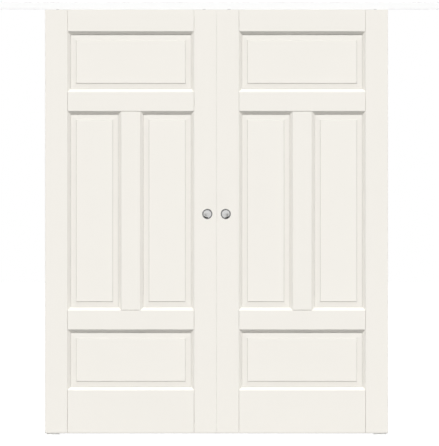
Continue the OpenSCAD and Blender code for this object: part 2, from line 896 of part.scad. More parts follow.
right_floor_guide();
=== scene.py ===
import bmesh
import bpy
import numpy as np
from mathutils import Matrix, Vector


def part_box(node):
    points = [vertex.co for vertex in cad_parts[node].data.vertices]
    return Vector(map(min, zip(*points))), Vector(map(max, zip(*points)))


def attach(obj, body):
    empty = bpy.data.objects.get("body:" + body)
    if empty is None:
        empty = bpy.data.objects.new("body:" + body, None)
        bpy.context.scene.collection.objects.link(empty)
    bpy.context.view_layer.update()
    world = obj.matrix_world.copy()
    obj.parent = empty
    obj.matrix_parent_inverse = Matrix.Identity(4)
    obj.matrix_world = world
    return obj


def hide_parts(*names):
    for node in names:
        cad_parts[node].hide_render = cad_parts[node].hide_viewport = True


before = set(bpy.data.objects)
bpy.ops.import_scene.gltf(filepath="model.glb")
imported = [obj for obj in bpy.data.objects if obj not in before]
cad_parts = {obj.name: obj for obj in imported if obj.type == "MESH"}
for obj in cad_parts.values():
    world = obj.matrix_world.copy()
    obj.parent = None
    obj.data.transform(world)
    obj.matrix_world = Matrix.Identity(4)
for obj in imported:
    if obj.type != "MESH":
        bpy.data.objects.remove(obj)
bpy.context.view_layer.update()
mm = 0.001
print("frame loaded,", len(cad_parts), "nodes")


# One socket of a node tree: arithmetic on it adds Math nodes
class Wire:
    def __init__(self, tree, socket=None):
        self.tree = tree
        self.socket = socket

    # Any other node: its type, its settings, then what its sockets hold or are linked to
    def node(self, kind, settings, sockets, out=0):
        made = self.tree.nodes.new("ShaderNode" + kind)
        for key, value in settings.items():
            setattr(made, key, value)
        for key, value in sockets.items():
            self.feed(made.inputs[key], value)
        return Wire(self.tree, made.outputs[out])

    def feed(self, target, value):
        if isinstance(value, Wire):
            self.tree.links.new(value.socket, target)
        else:
            target.default_value = value

    def math(self, operation, first, second):
        return self.node("Math", {"operation": operation}, {0: first, 1: second})

    def __add__(self, other):
        return self.math("ADD", self, other)

    __radd__ = __add__

    def __sub__(self, other):
        return self.math("SUBTRACT", self, other)

    def __rsub__(self, other):
        return self.math("SUBTRACT", other, self)

    def __mul__(self, other):
        return self.math("MULTIPLY", self, other)

    __rmul__ = __mul__


# Camera: straight on, from far away, so that the recesses show no lean
shot = {"lens": 200.0, "sensor": 36.0, "frameHeight": 2.147, "aimX": 0.0144, "aimZ": 1.0196, "farEnd": 200.0}


def placeCamera():
    # distance = frame height * lens / sensor, the sensor lying along the image's long side
    data = bpy.data.cameras.new("camera")
    data.lens = shot["lens"]
    data.sensor_width = shot["sensor"]
    data.clip_end = shot["farEnd"]
    camera = bpy.data.objects.new("camera", data)
    bpy.context.collection.objects.link(camera)
    distance = shot["frameHeight"] * shot["lens"] / shot["sensor"]
    camera.location = (shot["aimX"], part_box("left_outer_stile")[0].y - distance, shot["aimZ"])
    camera.rotation_euler = (np.pi / 2, 0.0, 0.0)
    bpy.context.scene.camera = camera


# Light: an even sky, one broad lamp from above the camera and a weaker one behind the object;
# lamps have a level in W/m2, then height, bearing and spread in degrees
light = {
    "skyLevel": 0.12,
    "lamps": {"front_lamp": (3.38, 35.0, 0.0, 46.0), "back_lamp": (2.55, 25.0, 180.0, 60.0)},
    "floorTint": 0.14, "floorGlow": 0.92, "floorRoughness": 0.9, "floorSpecular": 0.1,
    "floorReach": 60.0, "floorDrop": -0.2 * mm,
}


# 1 for rays that show the background: camera, glossy and transmission rays
def seenRays(start):
    path = start.node("LightPath", {}, {}).socket.node
    rays = [Wire(start.tree, path.outputs[name])
            for name in ("Is Camera Ray", "Is Glossy Ray", "Is Transmission Ray")]
    return rays[0] + rays[1] + rays[2]


# A flat card of the stage: one corner and the two sides that leave it
def layCard(name, corner, first, second, material):
    corner, first, second = np.array(corner), np.array(first), np.array(second)
    mesh = bpy.data.meshes.new(name)
    points = np.stack([corner, corner + first, corner + first + second, corner + second])
    mesh.from_pydata(points.tolist(), [], [[0, 1, 2, 3]])
    mesh.materials.append(material)
    card = bpy.data.objects.new(name, mesh)
    bpy.context.collection.objects.link(card)
    return card


def lightScene():
    world = bpy.data.worlds.new("studio")
    bpy.context.scene.world = world
    world.use_nodes = True
    start = Wire(world.node_tree)
    sky = world.node_tree.nodes["Background"]
    sky.inputs["Color"].default_value = (1.0, 1.0, 1.0, 1.0)
    start.feed(sky.inputs["Strength"], light["skyLevel"] + (1.0 - light["skyLevel"]) * seenRays(start))

    for name, (level, height, bearing, spread) in light["lamps"].items():
        data = bpy.data.lights.new(name, "SUN")
        data.energy = level
        data.angle = np.radians(spread)
        lamp = bpy.data.objects.new(name, data)
        lamp.rotation_euler = np.radians([90.0 - height, 0.0, bearing])
        lamp.visible_glossy = False  # the pulls mirror the pale room, not the lamps
        bpy.context.collection.objects.link(lamp)

    # the floor is pale by its own colour and white to the camera, less its shadow
    material = bpy.data.materials.new("pale_floor")
    material.use_nodes = True
    start = Wire(material.node_tree)
    shader = material.node_tree.nodes["Principled BSDF"]
    tint = light["floorTint"]
    shader.inputs["Base Color"].default_value = (tint, tint, tint, 1.0)
    shader.inputs["Roughness"].default_value = light["floorRoughness"]
    shader.inputs["Specular IOR Level"].default_value = light["floorSpecular"]
    shader.inputs["Emission Color"].default_value = (1.0, 1.0, 1.0, 1.0)
    start.feed(shader.inputs["Emission Strength"], light["floorGlow"] * seenRays(start))
    reach = light["floorReach"]
    layCard("floor", (-reach / 2, -reach / 2, light["floorDrop"]), (reach, 0, 0), (0, reach, 0), material)


# Studio flags that only polished metal mirrors, placed from the meeting line at the pulls' height:
# a dark one held level above them, and a small grey one upright in front
flags = {
    "dark_flag": {"corner": (-60 * mm, -220 * mm, 75 * mm), "first": (120 * mm, 0, 0),
                  "second": (0, 215 * mm, 0), "tint": 0.01},
    "grey_flag": {"corner": (-30 * mm, -550 * mm, -6 * mm), "first": (60 * mm, 0, 0),
                  "second": (0, 0, 80 * mm), "tint": 0.48},
}


def hangFlags():
    low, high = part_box("left_front_pull")
    origin = np.array([0.0, low.y, (low.z + high.z) / 2])
    for name, flag in flags.items():
        material = bpy.data.materials.new(name)
        material.use_nodes = True
        shader = material.node_tree.nodes["Principled BSDF"]
        shader.inputs["Base Color"].default_value = (flag["tint"], flag["tint"], flag["tint"], 1.0)
        shader.inputs["Roughness"].default_value = 1.0  # dead matt
        shader.inputs["Specular IOR Level"].default_value = 0.0
        card = layCard(name, origin + np.array(flag["corner"]), flag["first"], flag["second"], material)
        card.visible_camera = False
        card.visible_diffuse = False
        card.visible_shadow = False
        card.visible_transmission = False


bpy.context.scene.view_settings.view_transform = "Standard"
placeCamera()
lightScene()
hangFlags()
print("stage set")


# A material with its fixed values on the shader's own sockets
def newFinish(name, plain):
    material = bpy.data.materials.new(name)
    material.use_nodes = True
    shader = material.node_tree.nodes["Principled BSDF"]
    for key, value in plain.items():
        shader.inputs[key].default_value = value
    return material, Wire(material.node_tree), shader


def opaque(colour):
    return (*colour, 1.0)


# Noise on the object's own coordinates; stretch narrows or widens it along x, y, z
def objectNoise(start, scale, detail=2.0, stretch=(1.0, 1.0, 1.0)):
    place = start.node("TexCoord", {}, {}, out="Object")
    place = start.node("Mapping", {}, {"Vector": place, "Scale": stretch})
    return start.node("TexNoise", {}, {"Vector": place, "Scale": scale, "Detail": detail})


def blendColour(start, factor, first, second):
    return start.node("Mix", {"data_type": "RGBA"}, {0: factor, 6: opaque(first), 7: opaque(second)}, out=2)


def bump(start, height, strength, distance):
    return start.node("Bump", {}, {"Height": height, "Strength": strength, "Distance": distance})


# Roughness of a look: its middle value, spread by the noise to both sides
def spreadOut(look, noise):
    return look["roughness"] - look["spread"] / 2 + look["spread"] * noise


# Satin paint: slow clouds between two near tints, and the fine peel that a roller leaves; its darker tint is
# painted shade for the panels' corner strips, borders and steps
paintLook = {
    "tints": [(0.862, 0.836, 0.781), (0.882, 0.856, 0.801)], "shadeTint": (0.600, 0.580, 0.540),
    "specular": 0.35, "roughness": 0.42, "spread": 0.12, "cloudScale": 4.0, "cloudDetail": 3.0,
    "peelScale": 900.0, "peelDetail": 1.0, "peelStrength": 0.25, "peelDepth": 0.06 * mm,
}


# Painted shade on the panels' corner strips, borders and steps: the attribute says by how much they are
# darker
def satinPaint(name, painted_shade):
    material, start, shader = newFinish(name, {"Specular IOR Level": paintLook["specular"]})
    cloud = objectNoise(start, paintLook["cloudScale"], paintLook["cloudDetail"])
    peel = objectNoise(start, paintLook["peelScale"], paintLook["peelDetail"])
    colour = blendColour(start, cloud, *paintLook["tints"])
    if painted_shade:
        share = start.node("Attribute", {"attribute_name": "painted_shade"}, {}, out="Fac")
        dark = opaque(paintLook["shadeTint"])
        colour = start.node("Mix", {"data_type": "RGBA"}, {0: share, 6: colour, 7: dark}, out=2)
    start.feed(shader.inputs["Base Color"], colour)
    start.feed(shader.inputs["Roughness"], spreadOut(paintLook, cloud))
    start.feed(shader.inputs["Normal"], bump(start, peel, paintLook["peelStrength"], paintLook["peelDepth"]))
    return material


# Turned steel: fine rings that follow the distance from the pull's centre, darker from bowl to rim; the
# rim's darker tint is painted shade and dark reflection
steelLook = {
    "bowlTints": [(0.60, 0.60, 0.595), (0.68, 0.68, 0.675)], "rimShadeTint": (0.36, 0.36, 0.355),
    "bowlEnd": 17.5 * mm, "rimStart": 21.5 * mm, "roughness": 0.15, "spread": 0.06,
    "cloudScale": 60.0, "ringScale": 2600.0, "ringStrength": 0.10, "ringDepth": 0.02 * mm,
}


def turnedSteel(name):
    material, start, shader = newFinish(name, {"Metallic": 1.0})
    reach = start.node("Attribute", {"attribute_name": "reach"}, {}, out="Fac")
    ring = start.node("TexNoise", {"noise_dimensions": "1D"}, {"W": reach, "Scale": steelLook["ringScale"]})
    cloud = objectNoise(start, steelLook["cloudScale"])
    bowl = blendColour(start, cloud, *steelLook["bowlTints"])
    ramp = {"From Min": steelLook["bowlEnd"], "From Max": steelLook["rimStart"], "Value": reach}
    outward = start.node("MapRange", {"interpolation_type": "SMOOTHSTEP"}, ramp)
    # painted shade and dark reflection on the rim
    rim = opaque(steelLook["rimShadeTint"])
    colour = start.node("Mix", {"data_type": "RGBA"}, {0: outward, 6: bowl, 7: rim}, out=2)
    start.feed(shader.inputs["Base Color"], colour)
    start.feed(shader.inputs["Roughness"], spreadOut(steelLook, cloud))
    start.feed(shader.inputs["Normal"], bump(start, ring, steelLook["ringStrength"], steelLook["ringDepth"]))
    return material


# Plain hardware finishes: two tints, roughness and its spread, noise scale and stretch, bump depth;
# all share the detail of the noise and the strength of the bump
hardwareGrain = {"detail": 3.0, "strength": 0.4}
hardwareLooks = {
    "zinc_steel": {"tints": [(0.58, 0.60, 0.62), (0.70, 0.71, 0.70)], "metal": 1.0, "roughness": 0.30,
                   "spread": 0.16, "scale": 120.0, "stretch": (1.0, 1.0, 1.0), "depth": 0.02 * mm},
    "trolley_alloy": {"tints": [(0.66, 0.67, 0.69), (0.76, 0.77, 0.78)], "metal": 1.0, "roughness": 0.34,
                      "spread": 0.14, "scale": 900.0, "stretch": (0.04, 1.0, 1.0), "depth": 0.02 * mm},
    "track_coat": {"tints": [(0.945, 0.945, 0.940), (0.965, 0.965, 0.960)], "metal": 0.0, "roughness": 0.46,
                   "spread": 0.08, "scale": 1400.0, "stretch": (1.0, 1.0, 1.0), "depth": 0.05 * mm},
    "nylon": {"tints": [(0.86, 0.86, 0.845), (0.91, 0.91, 0.895)], "metal": 0.0, "roughness": 0.44,
              "spread": 0.10, "scale": 300.0, "stretch": (1.0, 1.0, 1.0), "depth": 0.02 * mm},
    "rubber": {"tints": [(0.020, 0.020, 0.020), (0.040, 0.039, 0.037)], "metal": 0.0, "roughness": 0.75,
               "spread": 0.15, "scale": 700.0, "stretch": (1.0, 1.0, 1.0), "depth": 0.08 * mm},
    "beech": {"tints": [(0.56, 0.39, 0.22), (0.70, 0.52, 0.33)], "metal": 0.0, "roughness": 0.60,
              "spread": 0.12, "scale": 500.0, "stretch": (0.08, 1.0, 1.0), "depth": 0.05 * mm},
}


def hardwareFinish(name):
    look = hardwareLooks[name]
    material, start, shader = newFinish(name, {"Metallic": look["metal"]})
    grain = objectNoise(start, look["scale"], hardwareGrain["detail"], look["stretch"])
    start.feed(shader.inputs["Base Color"], blendColour(start, grain, *look["tints"]))
    start.feed(shader.inputs["Roughness"], spreadOut(look, grain))
    start.feed(shader.inputs["Normal"], bump(start, grain, hardwareGrain["strength"], look["depth"]))
    return material


finishes = {name: hardwareFinish(name) for name in hardwareLooks}
finishes["frame_paint"] = satinPaint("frame_paint", False)
finishes["panel_paint"] = satinPaint("panel_paint", True)
finishes["chrome"] = turnedSteel("turned_steel")
print("finishes mixed,", len(finishes))


# Quads of a grid of rows x columns points; wrapped ways are closed into rings
def gridQuads(rows, columns, wrapRows=False, wrapColumns=False):
    i = np.arange(rows if wrapRows else rows - 1)[:, None]
    j = np.arange(columns if wrapColumns else columns - 1)[None, :]
    below, beside = (i + 1) % rows, (j + 1) % columns
    corners = [i * columns + j, i * columns + beside, below * columns + beside, below * columns + j]
    return np.stack(np.broadcast_arrays(*corners), axis=-1).reshape(-1, 4)


# Closed shell of a grid whose columns form rings: the open end rows are capped
def ringShell(points, wrapRows=False):
    rows, columns = points.shape[:2]
    faces = gridQuads(rows, columns, wrapRows, True).tolist()
    if not wrapRows:
        ends = np.arange(columns)
        faces += [ends.tolist(), (ends + (rows - 1) * columns).tolist()]
    return points.reshape(-1, 3), faces


# Several shells as one: the corners of each are counted on from those before it
def joinShells(shells):
    starts = np.cumsum([0] + [len(points) for points, faces in shells[:-1]])
    points = np.concatenate([points for points, faces in shells])
    faces = [[corner + int(start) for corner in face]
             for start, (_, shellFaces) in zip(starts, shells) for face in shellFaces]
    return points, faces


# Mesh of a shell, with its faces turned outwards
def shellMesh(name, shell):
    points, faces = shell
    mesh = bpy.data.meshes.new(name)
    mesh.from_pydata(points.tolist(), [], faces)
    turned = bmesh.new()
    turned.from_mesh(mesh)
    bmesh.ops.recalc_face_normals(turned, faces=turned.faces)
    turned.to_mesh(mesh)
    turned.free()
    return mesh


crispAngle = 35.0  # degrees
boardCorners = 4


# Puts a shell on its body in place of its nodes. Edges over the crisp angle stay sharp, and with
# mitred set, so do the edges that run through the profile at a board's four corners.
def layPiece(name, shell, body, finish, nodes, mitred=False):
    mesh = shellMesh(name, shell)
    mesh.polygons.foreach_set("use_smooth", np.ones(len(mesh.polygons), dtype=bool))
    mesh.set_sharp_from_angle(angle=np.radians(crispAngle))
    if mitred:
        ends = np.empty(len(mesh.edges) * 2, dtype=np.int32)
        mesh.edges.foreach_get("vertices", ends)
        ends = ends.reshape(-1, 2) % boardCorners
        crisp = np.empty(len(mesh.edges), dtype=bool)
        mesh.edges.foreach_get("use_edge_sharp", crisp)
        mesh.edges.foreach_set("use_edge_sharp", crisp | (ends[:, 0] == ends[:, 1]))
    mesh.materials.append(finishes[finish])
    piece = bpy.data.objects.new(name, mesh)
    bpy.context.collection.objects.link(piece)
    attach(piece, body)
    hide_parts(*nodes)
    return piece


def pointsOf(piece):
    points = np.empty(len(piece.data.vertices) * 3)
    piece.data.vertices.foreach_get("co", points)
    return points.reshape(-1, 3)


def setAttribute(piece, name, values):
    piece.data.attributes.new(name, "FLOAT", "POINT").data.foreach_set("value", values)


# A board: the rectangle x0..x1, z0..z1 carried through the thickness. Where it lies at depths[i],
# its left, right, bottom and top sides are drawn in by reach * insets[i]
def boardShell(span, depths, insets, reach=(1.0, 1.0, 1.0, 1.0)):
    left, right = span[0] + reach[0] * insets, span[1] - reach[1] * insets
    bottom, top = span[2] + reach[2] * insets, span[3] - reach[3] * insets
    x = np.stack([left, right, right, left], axis=1)
    z = np.stack([bottom, bottom, top, top], axis=1)
    y = np.broadcast_to(depths[:, None], x.shape)
    return ringShell(np.stack([x, y, z], axis=2))


# A plain box between two opposite corners
def boxShell(low, high):
    ends = np.array([low[1], high[1]])
    return boardShell((low[0], high[0], low[2], high[2]), ends, np.zeros(2))


# Front half of a profile and its twin behind, as one run from front to back
def bothFaces(halves, insets):
    return np.concatenate([-halves, halves[::-1]]), np.concatenate([insets, insets[::-1]])


# A turned shape: the profile (radius, along) goes round the axis that runs through middle
def turnedShell(profile, middle, axis, steps, wrapRows=False):
    angle = np.linspace(0.0, 2 * np.pi, steps, endpoint=False)
    radius, along = profile[:, 0, None], profile[:, 1, None]
    across = [radius * np.cos(angle), radius * np.sin(angle)]
    along = np.broadcast_to(along, across[0].shape)
    parts = [across[0], along, across[1]] if axis == "y" else [across[0], across[1], along]
    return ringShell(np.stack(parts, axis=2) + np.array(middle), wrapRows)


# Points on an arc, its angles in degrees from the first axis
def arc(centre, radius, first, last, steps):
    angle = np.radians(np.linspace(first, last, steps))
    return np.column_stack([centre[0] + radius * np.cos(angle), centre[1] + radius * np.sin(angle)])


# Timber of a leaf; the paint rounds joint, outer and meeting edges over their own widths
# and leaves a hairline at the joints
timber = {
    "thickness": 40 * mm, "arris": 1.4 * mm, "hairline": 0.7 * mm, "mullionHairline": 1.4 * mm,
    "jointEdge": 1.5 * mm, "outerEdge": 1.2 * mm, "footEdge": 5.4 * mm,
    "meetingEdge": 0.2 * mm, "meetingReach": 0.25 * mm, "edgeRows": 5, "edgeRun": 1.6,
    "tenonHalf": 8.0 * mm, "tenonReach": 2.0 * mm,
    "stickingDrop": 1.0 * mm, "nose": 3.0 * mm, "grooveHalf": 3.0 * mm, "grooveDepth": 11.2 * mm,
    "tongueLength": 8.0 * mm, "tongueHalf": 5.0 * mm, "tongueChamfer": 1.0 * mm,
    "meetingGrooveHalf": 5.5 * mm, "meetingGrooveDepth": 7.9 * mm,
    "guideGrooveHalf": 4.0 * mm, "guideGrooveDepth": 15.0 * mm,
    "platePlay": 0.3 * mm, "boltPocket": 9.5 * mm, "boltPocketDepth": 12.0 * mm, "pocketSteps": 32,
    "cupPlay": 0.3 * mm, "cupSteps": 64, "sunk": 0.3 * mm, "over": 10.0 * mm,  # cutters stand out by over
}


# Limits of a node: x from left to right, z from bottom to top
def spanOf(node):
    low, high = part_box(node)
    return np.array([low.x, high.x, low.z, high.z])


# a rail ends at the joint, and the stile's sticking reaches past it
timber["stickingWidth"] = spanOf("right_top_rail")[1] - spanOf("right_outer_stile")[0]


# Squared timber: at share t of an edge's own width the face has fallen by arris * (1 - t)^2,
# and the first row lies on the flat face, edgeRun widths in
def timberShell(span, edges):
    share = np.append(timber["edgeRun"], np.linspace(1.0, 0.0, timber["edgeRows"]))
    fall = timber["arris"] * np.clip(1.0 - share, 0.0, 1.0) ** 2
    widths = [timber[edge + "Edge"] for edge in edges]
    return boardShell(span, *bothFaces(timber["thickness"] / 2 - fall, share), widths)


# Tenons that run on past both ends of a rail or mullion and close its joints from behind
def tenonShell(span, along):
    reach = timber["tenonReach"] * np.array([-1, 1, 1, -1] if along == "x" else [1, -1, -1, 1])
    half = timber["tenonHalf"]
    return boardShell(np.array(span) + reach, np.array([-half, half]), np.zeros(2))


# Bevelled and grooved strip along an edge: a profile point that stands s off the edge runs
# from s to length - s, which mitres both ends
def stickingShell(start, along, into, length):
    edge = timber["thickness"] / 2 - timber["stickingDrop"]
    width, groove, sunk = timber["stickingWidth"], timber["grooveHalf"], timber["sunk"]
    back = width - timber["grooveDepth"]
    nose = groove + timber["nose"]
    stand = np.array([-sunk, 0.0, width, width, back, back, width, width, 0.0, -sunk])
    depth = np.array([-edge, -edge, -nose, -groove, -groove, groove, groove, nose, edge, edge])
    run = np.stack([stand, length - stand])[:, :, None]
    across = stand[None, :, None] * np.array(into) + depth[None, :, None] * np.array([0.0, 1.0, 0.0])
    return ringShell(np.array(start) + run * np.array(along) + across)


# Takes the cutters out of a shell and gives the shell that is left
def carve(shell, cutters):
    body = bpy.data.objects.new("carved", shellMesh("carved", shell))
    tool = bpy.data.objects.new("cutter", shellMesh("cutter", joinShells(cutters)))
    for made in (body, tool):
        bpy.context.collection.objects.link(made)
    cut = body.modifiers.new("cut", "BOOLEAN")
    cut.operation = "DIFFERENCE"
    cut.solver = "EXACT"
    cut.use_self = True
    cut.object = tool
    done = body.evaluated_get(bpy.context.evaluated_depsgraph_get())
    mesh = done.to_mesh()
    points = np.empty(len(mesh.vertices) * 3)
    mesh.vertices.foreach_get("co", points)
    faces = [list(face.vertices) for face in mesh.polygons]
    done.to_mesh_clear()
    for made in (body, tool):
        bpy.data.meshes.remove(made.data)  # takes its object with it
    return points.reshape(-1, 3), faces


# Joint lines of a leaf, read from its nodes: openings between the rails, rails between the stiles
def leafLines(side):
    stand = timber["stickingWidth"]
    rails = {
        "bottom_rail": spanOf(side + "_bottom_rail") - stand * np.array([0, 0, 0, 1]),
        "lower_cross_rail": spanOf(side + "_lower_cross_rail") + stand * np.array([0, 0, 1, -1]),
        "upper_cross_rail": spanOf(side + "_upper_cross_rail") + stand * np.array([0, 0, 1, -1]),
        "top_rail": spanOf(side + "_top_rail") + stand * np.array([0, 0, 1, 0]),
    }
    mullion = spanOf(side + "_mullion") + stand * np.array([1, -1, 0, 0])
    order = list(rails.values())
    openings = [(low[3], high[2]) for low, high in zip(order, order[1:])]
    return rails, mullion, openings


# Housing of the hanger plate, round pocket under the bolt's head, groove for the floor guide
def stileCutters(side, place, span):
    low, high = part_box(side + "_" + place + "_hanger_plate")
    play, over = timber["platePlay"], timber["over"]
    half, deep = timber["guideGrooveHalf"], timber["guideGrooveDepth"]
    pocket = np.array([[timber["boltPocket"], -timber["boltPocketDepth"]], [timber["boltPocket"], 0.0]])
    middle = [(low.x + high.x) / 2, 0.0, low.z + play]
    return [
        boxShell([low.x - play, low.y - play, low.z], [high.x + play, high.y + play, high.z + over]),
        turnedShell(pocket, middle, "z", timber["pocketSteps"]),
        boxShell([span[0] - over, -half, span[2] - over], [span[1] + over, half, span[2] + deep]),
    ]


# Round mortises for the cups of the two pulls
def pullCutters(side):
    cutters = []
    for face, sign in (("_front_pull", -1.0), ("_back_pull", 1.0)):
        low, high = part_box(side + face)
        radius = pull["cupRadius"] + timber["cupPlay"]
        inner = min(abs(low.y), abs(high.y)) - timber["cupPlay"]
        middle = [(low.x + high.x) / 2, 0.0, (low.z + high.z) / 2]
        run = np.array([[radius, sign * inner], [radius, sign * timber["thickness"]]])
        cutters.append(turnedShell(run, middle, "y", timber["cupSteps"]))
    return cutters


# A stile is squared timber with its cutters taken out, and a strip of sticking along each opening
def buildStiles(side, outward):
    rails, _, openings = leafLines(side)
    joints = rails["top_rail"][:2] if outward > 0 else rails["top_rail"][1::-1]
    foot, head = spanOf(side + "_outer_stile")[2:]
    outer = spanOf(side + "_outer_stile")[1 if outward > 0 else 0]
    meeting = spanOf("right_meeting_stile")[0] * outward
    meeting -= outward * timber["meetingReach"]
    places = [("outer", outer, joints[1], -outward), ("inner", meeting, joints[0], outward)]
    for place, edge, joint, into in places:
        span = (min(edge, joint), max(edge, joint), foot, head)
        edges = ["meeting" if place == "inner" else "outer", "joint"]
        edges = (edges if edge < joint else edges[::-1]) + ["foot", "outer"]
        cutters = stileCutters(side, place, span)
        extra = []
        name = side + "_outer_stile"
        if place == "inner":
            name = side + "_meeting_stile"
            cutters += pullCutters(side)
            if outward > 0:
                half, deep, over = timber["meetingGrooveHalf"], timber["meetingGrooveDepth"], timber["over"]
                cutters.append(boxShell([edge - over, -half, foot - over], [edge + deep, half, head + over]))
            else:
                extra.append(tongueShell(edge, foot, head))
        strips = [stickingShell([joint, 0.0, low], [0.0, 0.0, 1.0], [into, 0.0, 0.0], high - low)
                  for low, high in openings]
        shell = joinShells([carve(timberShell(span, edges), cutters)] + strips + extra)
        layPiece(name + "_painted", shell, side + "_leaf", "frame_paint", [name])


# Chamfered tongue on the meeting edge of the left leaf, a profile carried upwards
def tongueShell(edge, foot, head):
    out, half, chamfer = timber["tongueLength"], timber["tongueHalf"], timber["tongueChamfer"]
    x = edge + np.array([-timber["sunk"], out - chamfer, out, out, out - chamfer, -timber["sunk"]])
    y = np.array([-half, -half, chamfer - half, half - chamfer, half, half])
    z = np.array([foot + timber["guideGrooveDepth"], head - timber["arris"]])[:, None]
    return ringShell(np.stack(np.broadcast_arrays(x, y, z), axis=2))


# Rails and mullion: squared timber, tenons, and a strip of sticking along each opening they meet
def buildRails(side):
    rails, mullion, _ = leafLines(side)
    hairline, over = timber["hairline"], timber["over"]
    halves = [(rails["top_rail"][0], mullion[0]), (mullion[1], rails["top_rail"][1])]
    whole = [tuple(rails["top_rail"][:2])]
    above = {"bottom_rail": whole, "lower_cross_rail": halves, "upper_cross_rail": whole}
    below = {"lower_cross_rail": whole, "upper_cross_rail": halves, "top_rail": whole}
    for name, (x0, x1, z0, z1) in rails.items():
        edges = ["joint", "joint", "foot" if name == "bottom_rail" else "joint",
                 "outer" if name == "top_rail" else "joint"]
        blank = timberShell((x0 + hairline, x1 - hairline, z0, z1), edges)
        if name == "bottom_rail":
            half, deep = timber["guideGrooveHalf"], timber["guideGrooveDepth"]
            blank = carve(blank, [boxShell([x0 - over, -half, z0 - over], [x1 + over, half, z0 + deep])])
        strips = [stickingShell([a, 0.0, z1], [1.0, 0.0, 0.0], [0.0, 0.0, 1.0], b - a)
                  for a, b in above.get(name, [])]
        strips += [stickingShell([a, 0.0, z0], [1.0, 0.0, 0.0], [0.0, 0.0, -1.0], b - a)
                   for a, b in below.get(name, [])]
        node = side + "_" + name
        shells = [blank, tenonShell((x0, x1, z0 + timber["guideGrooveDepth"], z1), "x")] + strips
        layPiece(node + "_painted", joinShells(shells), side + "_leaf", "frame_paint", [node])

    x0, x1, z0, z1 = mullion
    strips = [stickingShell([x, 0.0, z0], [0.0, 0.0, 1.0], [into, 0.0, 0.0], z1 - z0)
              for x, into in ((x0, -1.0), (x1, 1.0))]
    hairline = timber["mullionHairline"]
    blank = timberShell((x0, x1, z0 + hairline, z1 - hairline), ["joint"] * 4)
    node = side + "_mullion"
    shells = [blank, tenonShell(mullion, "z")] + strips
    layPiece(node + "_painted", joinShells(shells), side + "_leaf", "frame_paint", [node])


# Raised panels: half thickness at the tongue, at the end of the border and on the field
panel = {
    "tongueHalf": 2.8 * mm, "borderHalf": 5.2 * mm, "fieldHalf": 8.0 * mm,
    "tongueReach": 9.2 * mm, "borderReach": 35.6 * mm, "fieldReach": 38.8 * mm,
    "cornerRounds": [0.6 * mm, 0.3 * mm, 0.4 * mm], "roundRows": 6, "roundRun": 1.5,
    # shares of painted shade: in the corner strip by the sticking, on the border and on the step
    "cornerShade": 0.72, "borderShade": 0.21, "stepShade": 0.55,
    "cornerWidth": 2.8 * mm, "fade": 0.6 * mm,
}


# 0 below -r, x above r, and (x + r)^2 / 4r between them: a corner rounded over r
def softRise(x, r):
    return np.where(x <= -r, 0.0, np.where(x >= r, x, (x + r) ** 2 / (4 * r)))


# The half thickness climbs from tongue to border and from border to field along two slopes
def panelShell(span):
    knees = np.array([panel["tongueReach"], panel["borderReach"], panel["fieldReach"]])
    rounds = np.array(panel["cornerRounds"])
    spread = np.linspace(-1.0, 1.0, panel["roundRows"])
    spread = np.concatenate([spread, [-panel["roundRun"], panel["roundRun"]]])
    inset = (knees[:, None] + rounds[:, None] * spread).ravel()
    # rows where the painted shade of the corner strip ends and fades out
    line = panel["tongueReach"] + panel["cornerWidth"] + np.array([0.0, panel["fade"]])
    inset = np.sort(np.concatenate([[0.0], line, inset]))
    border = (panel["borderHalf"] - panel["tongueHalf"]) / (knees[1] - knees[0])
    step = (panel["fieldHalf"] - panel["borderHalf"]) / (knees[2] - knees[1])
    rise = [softRise(inset - knee, r) for knee, r in zip(knees, rounds)]
    half = panel["tongueHalf"] + border * (rise[0] - rise[1]) + step * (rise[1] - rise[2])
    return boardShell(span, *bothFaces(half[::-1], inset[::-1]))


# How much painted shade the paint gets goes by the distance from the panel's edge: strip, border, step,
# field
def buildPanels(side):
    for place in ("top", "outer", "inner", "bottom"):
        node = side + "_" + place + "_panel"
        span = spanOf(node)
        piece = layPiece(node + "_painted", panelShell(span), side + "_leaf",
                         "panel_paint", [node], mitred=True)
        x, _, z = pointsOf(piece).T
        inset = np.minimum(np.minimum(x - span[0], span[1] - x), np.minimum(z - span[2], span[3] - z))
        ends = [panel["tongueReach"] + panel["cornerWidth"] + panel["fade"] / 2,
                panel["borderReach"] - panel["fade"] / 2, panel["fieldReach"] + panel["fade"] / 2]
        shares = [panel["cornerShade"], panel["borderShade"], panel["stepShade"], 0.0]
        share = np.array(shares)[np.searchsorted(ends, inset)]
        setAttribute(piece, "painted_shade", share)


# Flush pulls: turned cups with a rolled rim and a thin flange
pull = {
    "cupRadius": 22.0 * mm, "wall": 0.8 * mm, "depth": 10.0 * mm, "flange": 1.6 * mm,
    "foot": 7.0 * mm, "footStart": -82.0, "dish": 0.5 * mm, "pole": 0.02, "steps": 128,
    "bowlRows": 12, "footRows": 14, "rimRows": 17, "backRows": 9,
}


# Profile from the middle of the bowl over the rim to the middle of its back: the bowl's floor is
# dished by dish * (r / floor radius)^2, and the rim is half an ellipse from the cup's wall to the edge
def pullProfile(outer):
    inner = pull["cupRadius"] - pull["wall"]
    floor = pull["flange"] - pull["depth"]
    foot = pull["foot"]
    r = np.linspace(pull["pole"], 1.0, pull["bowlRows"]) * (inner - foot)
    bowl = np.column_stack([r, floor + pull["dish"] * ((r / (inner - foot)) ** 2 - 1.0)])
    back = floor - pull["wall"]
    rim = arc((0.0, 0.0), 1.0, 180.0, 0.0, pull["rimRows"]) * [(outer - inner) / 2, pull["flange"]]
    return np.concatenate([
        bowl,
        arc((inner - foot, floor + foot), foot, pull["footStart"], 0.0, pull["footRows"]),
        rim + [(outer + inner) / 2, 0.0],
        [[pull["cupRadius"], 0.0]],
        arc((pull["cupRadius"] - foot, back + foot), foot, 0.0, -90.0, pull["backRows"]),
        [[r[0], back]],
    ])


